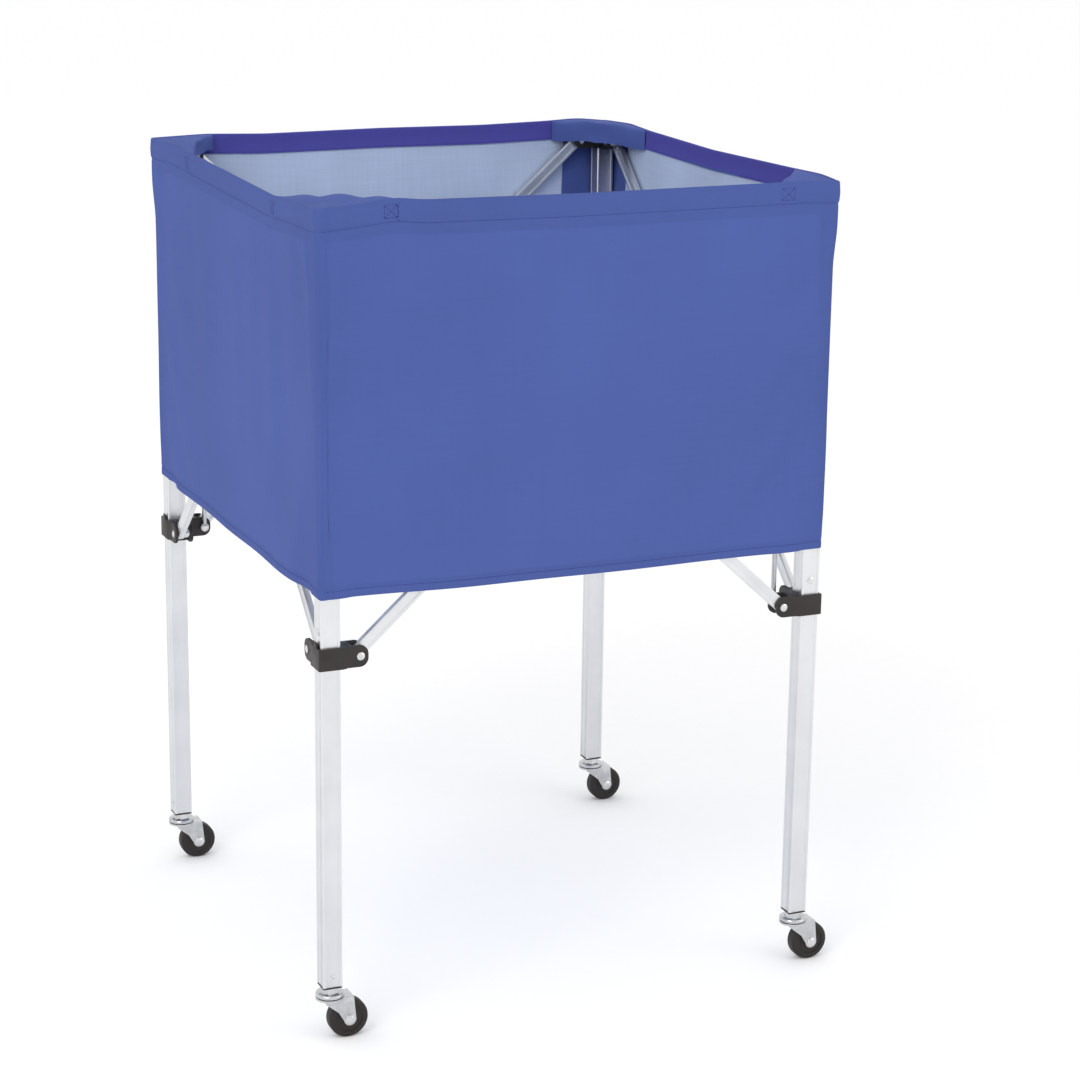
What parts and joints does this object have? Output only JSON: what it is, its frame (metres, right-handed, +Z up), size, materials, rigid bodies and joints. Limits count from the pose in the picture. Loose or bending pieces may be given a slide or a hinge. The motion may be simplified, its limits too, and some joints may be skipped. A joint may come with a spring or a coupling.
{
  "type": "laundry cart",
  "caption": "Square folding laundry cart: open-topped blue fabric basket on a scissor frame of aluminium bars and legs, with swivel casters.",
  "frame": {"origin": "on the floor, midway between the four legs", "axes": "+X right along the front, +Y to the back, +Z up"},
  "size_m": [0.7169, 0.687, 1.043],
  "materials": {
    "aluminium": "satin anodised extrusion",
    "black_plastic": "satin moulded nylon",
    "zinc_steel": "bright zinc plate",
    "chrome": "bright plated stem, nut and ball race",
    "wheel_rubber": "solid black moulded wheel",
    "blue_polyester": "plain-woven polyester, blue outside, silvery coating inside",
    "lining": "silvery light blue coated lining"
  },
  "bodies": {
    "leg_front_left": {"leg_front_left": "aluminium", "top_bracket_front_left": "black_plastic", "leg_rivets_front_left": "zinc_steel", "caster_stem_front_left": "chrome", "bag_front": "blue_polyester", "bag_floor": "lining"},
    "leg_front_right": {"leg_front_right": "aluminium", "top_bracket_front_right": "black_plastic", "leg_rivets_front_right": "zinc_steel", "caster_stem_front_right": "chrome", "bag_right": "blue_polyester"},
    "leg_back_right": {"leg_back_right": "aluminium", "top_bracket_back_right": "black_plastic", "leg_rivets_back_right": "zinc_steel", "caster_stem_back_right": "chrome", "bag_back": "blue_polyester"},
    "leg_back_left": {"leg_back_left": "aluminium", "top_bracket_back_left": "black_plastic", "leg_rivets_back_left": "zinc_steel", "caster_stem_back_left": "chrome", "bag_left": "blue_polyester"},
    "slider_front_left": {"slider_front_left": "black_plastic", "slider_pins_front_left": "zinc_steel", "stay_rod_front_left": "aluminium"},
    "slider_front_right": {"slider_front_right": "black_plastic", "slider_pins_front_right": "zinc_steel", "stay_rod_front_right": "aluminium"},
    "slider_back_right": {"slider_back_right": "black_plastic", "slider_pins_back_right": "zinc_steel", "stay_rod_back_right": "aluminium"},
    "slider_back_left": {"slider_back_left": "black_plastic", "slider_pins_back_left": "zinc_steel", "stay_rod_back_left": "aluminium"},
    "front_bar_outer": {"front_bar_outer": "aluminium", "front_bar_rivet": "zinc_steel"},
    "front_bar_inner": {"front_bar_inner": "aluminium"},
    "right_bar_outer": {"right_bar_outer": "aluminium", "right_bar_rivet": "zinc_steel"},
    "right_bar_inner": {"right_bar_inner": "aluminium"},
    "back_bar_outer": {"back_bar_outer": "aluminium", "back_bar_rivet": "zinc_steel"},
    "back_bar_inner": {"back_bar_inner": "aluminium"},
    "left_bar_outer": {"left_bar_outer": "aluminium", "left_bar_rivet": "zinc_steel"},
    "left_bar_inner": {"left_bar_inner": "aluminium"},
    "caster_fork_front_left": {"caster_fork_front_left": "zinc_steel", "caster_axle_front_left": "zinc_steel"},
    "caster_wheel_front_left": {"caster_wheel_front_left": "wheel_rubber"},
    "caster_fork_front_right": {"caster_fork_front_right": "zinc_steel", "caster_axle_front_right": "zinc_steel"},
    "caster_wheel_front_right": {"caster_wheel_front_right": "wheel_rubber"},
    "caster_fork_back_right": {"caster_fork_back_right": "zinc_steel", "caster_axle_back_right": "zinc_steel"},
    "caster_wheel_back_right": {"caster_wheel_back_right": "wheel_rubber"},
    "caster_fork_back_left": {"caster_fork_back_left": "zinc_steel", "caster_axle_back_left": "zinc_steel"},
    "caster_wheel_back_left": {"caster_wheel_back_left": "wheel_rubber"}
  },
  "joints": [
    {"name": "fold", "type": "hinge", "parent": "leg_front_left", "child": "front_bar_outer", "pos_m": [-0.2875, -0.3255, 1.018], "axis": [0, 1, 0], "range_deg": [0, 39.8], "deforming": ["bag_front", "bag_right", "bag_back", "bag_left", "bag_floor"]},
    {"name": "front_cross", "type": "hinge", "parent": "front_bar_outer", "child": "front_bar_inner", "pos_m": [0, -0.3255, 0.7575], "axis": [0, 1, 0], "range_deg": [-79.6, 0]},
    {"name": "front_right_leg_pin", "type": "hinge", "parent": "front_bar_inner", "child": "leg_front_right", "pos_m": [0.2875, -0.3255, 1.018], "axis": [0, 1, 0], "range_deg": [0, 39.8]},
    {"name": "front_left_slider_pin", "type": "hinge", "parent": "front_bar_inner", "child": "slider_front_left", "pos_m": [-0.2875, -0.3255, 0.497], "axis": [0, 1, 0], "range_deg": [0, 39.8]},
    {"name": "front_right_slider_pin", "type": "hinge", "parent": "front_bar_outer", "child": "slider_front_right", "pos_m": [0.2875, -0.3255, 0.497], "axis": [0, 1, 0], "range_deg": [-39.8, 0]},
    {"name": "right_top_pin", "type": "hinge", "parent": "leg_front_right", "child": "right_bar_inner", "pos_m": [0.3255, -0.2875, 1.018], "axis": [-1, 0, 0], "range_deg": [0, 39.8]},
    {"name": "right_cross", "type": "hinge", "parent": "right_bar_inner", "child": "right_bar_outer", "pos_m": [0.3255, 0, 0.7575], "axis": [-1, 0, 0], "range_deg": [-79.6, 0]},
    {"name": "back_right_leg_pin", "type": "hinge", "parent": "right_bar_outer", "child": "leg_back_right", "pos_m": [0.3255, 0.2875, 1.018], "axis": [-1, 0, 0], "range_deg": [0, 39.8]},
    {"name": "back_right_slider_pin", "type": "hinge", "parent": "right_bar_inner", "child": "slider_back_right", "pos_m": [0.3255, 0.2875, 0.497], "axis": [-1, 0, 0], "range_deg": [-39.8, 0]},
    {"name": "back_top_pin", "type": "hinge", "parent": "leg_back_right", "child": "back_bar_outer", "pos_m": [0.2875, 0.3255, 1.018], "axis": [0, -1, 0], "range_deg": [0, 39.8]},
    {"name": "back_cross", "type": "hinge", "parent": "back_bar_outer", "child": "back_bar_inner", "pos_m": [0, 0.3255, 0.7575], "axis": [0, -1, 0], "range_deg": [-79.6, 0]},
    {"name": "left_top_pin", "type": "hinge", "parent": "leg_front_left", "child": "left_bar_outer", "pos_m": [-0.3255, -0.2875, 1.018], "axis": [1, 0, 0], "range_deg": [-39.8, 0]},
    {"name": "left_cross", "type": "hinge", "parent": "left_bar_outer", "child": "left_bar_inner", "pos_m": [-0.3255, 0, 0.7575], "axis": [1, 0, 0], "range_deg": [0, 79.6]},
    {"name": "back_left_leg_pin", "type": "hinge", "parent": "left_bar_inner", "child": "leg_back_left", "pos_m": [-0.3255, 0.2875, 1.018], "axis": [1, 0, 0], "range_deg": [-39.8, 0]},
    {"name": "back_left_slider_pin", "type": "hinge", "parent": "left_bar_outer", "child": "slider_back_left", "pos_m": [-0.3255, 0.2875, 0.497], "axis": [1, 0, 0], "range_deg": [0, 39.8]},
    {"name": "swivel_front_left", "type": "hinge", "parent": "leg_front_left", "child": "caster_fork_front_left", "pos_m": [-0.3255, -0.3255, 0.06], "axis": [0, 0, 1], "continuous": true},
    {"name": "roll_front_left", "type": "hinge", "parent": "caster_fork_front_left", "child": "caster_wheel_front_left", "pos_m": [-0.3031, -0.3255, 0.0255], "axis": [0, 1, 0], "continuous": true},
    {"name": "swivel_front_right", "type": "hinge", "parent": "leg_front_right", "child": "caster_fork_front_right", "pos_m": [0.3255, -0.3255, 0.06], "axis": [0, 0, 1], "continuous": true},
    {"name": "roll_front_right", "type": "hinge", "parent": "caster_fork_front_right", "child": "caster_wheel_front_right", "pos_m": [0.3479, -0.3255, 0.0255], "axis": [0, 1, 0], "continuous": true},
    {"name": "swivel_back_right", "type": "hinge", "parent": "leg_back_right", "child": "caster_fork_back_right", "pos_m": [0.3255, 0.3255, 0.06], "axis": [0, 0, 1], "continuous": true},
    {"name": "roll_back_right", "type": "hinge", "parent": "caster_fork_back_right", "child": "caster_wheel_back_right", "pos_m": [0.3479, 0.3255, 0.0255], "axis": [0, 1, 0], "continuous": true},
    {"name": "swivel_back_left", "type": "hinge", "parent": "leg_back_left", "child": "caster_fork_back_left", "pos_m": [-0.3255, 0.3255, 0.06], "axis": [0, 0, 1], "continuous": true},
    {"name": "roll_back_left", "type": "hinge", "parent": "caster_fork_back_left", "child": "caster_wheel_back_left", "pos_m": [-0.3031, 0.3255, 0.0255], "axis": [0, 1, 0], "continuous": true}
  ],
  "couplings": [
    {"joint": "front_cross", "follows": "fold", "ratio": -2},
    {"joint": "front_right_leg_pin", "follows": "fold", "ratio": 1},
    {"joint": "front_left_slider_pin", "follows": "fold", "ratio": 1},
    {"joint": "front_right_slider_pin", "follows": "fold", "ratio": -1},
    {"joint": "right_top_pin", "follows": "fold", "ratio": 1},
    {"joint": "right_cross", "follows": "fold", "ratio": -2},
    {"joint": "back_right_leg_pin", "follows": "fold", "ratio": 1},
    {"joint": "back_right_slider_pin", "follows": "fold", "ratio": -1},
    {"joint": "back_top_pin", "follows": "fold", "ratio": 1},
    {"joint": "back_cross", "follows": "fold", "ratio": -2},
    {"joint": "left_top_pin", "follows": "fold", "ratio": -1},
    {"joint": "left_cross", "follows": "fold", "ratio": 2},
    {"joint": "back_left_leg_pin", "follows": "fold", "ratio": -1},
    {"joint": "back_left_slider_pin", "follows": "fold", "ratio": 1}
  ]
}
